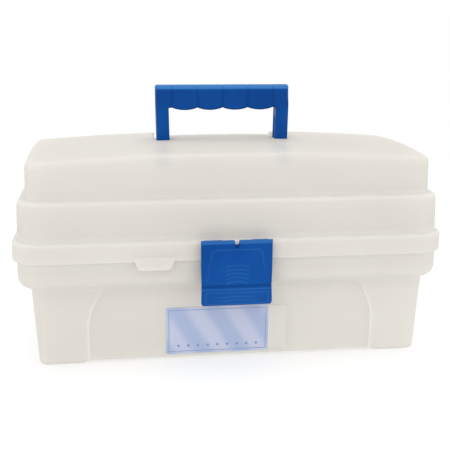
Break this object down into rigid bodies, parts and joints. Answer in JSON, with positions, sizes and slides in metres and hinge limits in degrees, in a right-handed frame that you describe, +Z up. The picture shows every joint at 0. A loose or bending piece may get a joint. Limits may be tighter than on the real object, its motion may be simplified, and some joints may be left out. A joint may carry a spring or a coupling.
{
  "type": "art supply box",
  "caption": "Translucent art supply box with a crowned hinged lid, a front latch, a fold-down carrying handle and stepped trays that lift and level as the lid opens.",
  "frame": {"origin": "centre of the box on the surface that it stands on", "axes": "+X along the length to the right of someone facing the latch, -Y towards the front with the latch, +Z up"},
  "size_m": [0.355, 0.1933, 0.2235],
  "materials": {
    "frosted_shell": "frosted translucent polypropylene, satin",
    "tray_plastic": "frosted translucent polypropylene, satin",
    "divider_plastic": "thin frosted sheet",
    "arm_plastic": "natural moulded plastic",
    "rivet_plastic": "natural moulded plastic",
    "blue_plastic": "opaque blue plastic, soft gloss",
    "pin_steel": "plain steel wire",
    "label_paper": "coated paper sticker",
    "strip_paper": "coated paper strip"
  },
  "bodies": {
    "base": {"base_tub": "frosted_shell", "front_label": "label_paper", "hinge_pin_left": "pin_steel", "hinge_pin_right": "pin_steel", "label_strip": "strip_paper", "long_arm_base_rivet_left": "rivet_plastic", "long_arm_base_rivet_right": "rivet_plastic", "short_arm_base_rivet_left": "rivet_plastic", "short_arm_base_rivet_right": "rivet_plastic"},
    "lid": {"latch_pin": "pin_steel", "lid_shell": "frosted_shell", "lid_tray_rivet_left": "rivet_plastic", "lid_tray_rivet_right": "rivet_plastic"},
    "latch": {"front_latch": "blue_plastic"},
    "handle": {"carry_handle": "blue_plastic"},
    "long_arms": {"long_arm_left": "arm_plastic", "long_arm_right": "arm_plastic"},
    "short_arms": {"short_arm_left": "arm_plastic", "short_arm_right": "arm_plastic"},
    "upper_tray": {"long_arm_tip_rivet_left": "rivet_plastic", "long_arm_tip_rivet_right": "rivet_plastic", "upper_divider_1": "divider_plastic", "upper_divider_2": "divider_plastic", "upper_divider_3": "divider_plastic", "upper_divider_4": "divider_plastic", "upper_divider_5": "divider_plastic", "upper_tray": "tray_plastic"},
    "lower_tray": {"long_arm_middle_rivet_left": "rivet_plastic", "long_arm_middle_rivet_right": "rivet_plastic", "lower_divider_1": "divider_plastic", "lower_divider_2": "divider_plastic", "lower_divider_3": "divider_plastic", "lower_tray": "tray_plastic", "short_arm_tray_rivet_left": "rivet_plastic", "short_arm_tray_rivet_right": "rivet_plastic"}
  },
  "joints": [
    {"name": "lid_hinge", "type": "hinge", "parent": "base", "child": "lid", "pos_m": [0, 0.0931, 0.0924], "axis": [-1, 0, 0], "range_deg": [0, 95]},
    {"name": "long_arm_swing", "type": "hinge", "parent": "base", "child": "long_arms", "pos_m": [0, 0.0331, 0.0784], "axis": [-1, 0, 0], "range_deg": [0, 95]},
    {"name": "short_arm_swing", "type": "hinge", "parent": "base", "child": "short_arms", "pos_m": [0, -0.0069, 0.0784], "axis": [-1, 0, 0], "range_deg": [0, 95]},
    {"name": "upper_tray_level", "type": "hinge", "parent": "lid", "child": "upper_tray", "pos_m": [0, -0.0003, 0.1282], "axis": [1, 0, 0], "range_deg": [0, 95]},
    {"name": "lower_tray_level", "type": "hinge", "parent": "long_arms", "child": "lower_tray", "pos_m": [0, -0.0136, 0.0963], "axis": [1, 0, 0], "range_deg": [0, 95]},
    {"name": "latch_flip", "type": "hinge", "parent": "lid", "child": "latch", "pos_m": [0, -0.0915, 0.1055], "axis": [-1, 0, 0], "range_deg": [0, 110]},
    {"name": "handle_fold", "type": "hinge", "parent": "lid", "child": "handle", "pos_m": [0, 0, 0.16], "axis": [-1, 0, 0], "range_deg": [0, 90]}
  ],
  "couplings": [
    {"joint": "long_arm_swing", "follows": "lid_hinge", "ratio": 1},
    {"joint": "short_arm_swing", "follows": "lid_hinge", "ratio": 1},
    {"joint": "upper_tray_level", "follows": "lid_hinge", "ratio": 1},
    {"joint": "lower_tray_level", "follows": "lid_hinge", "ratio": 1}
  ]
}
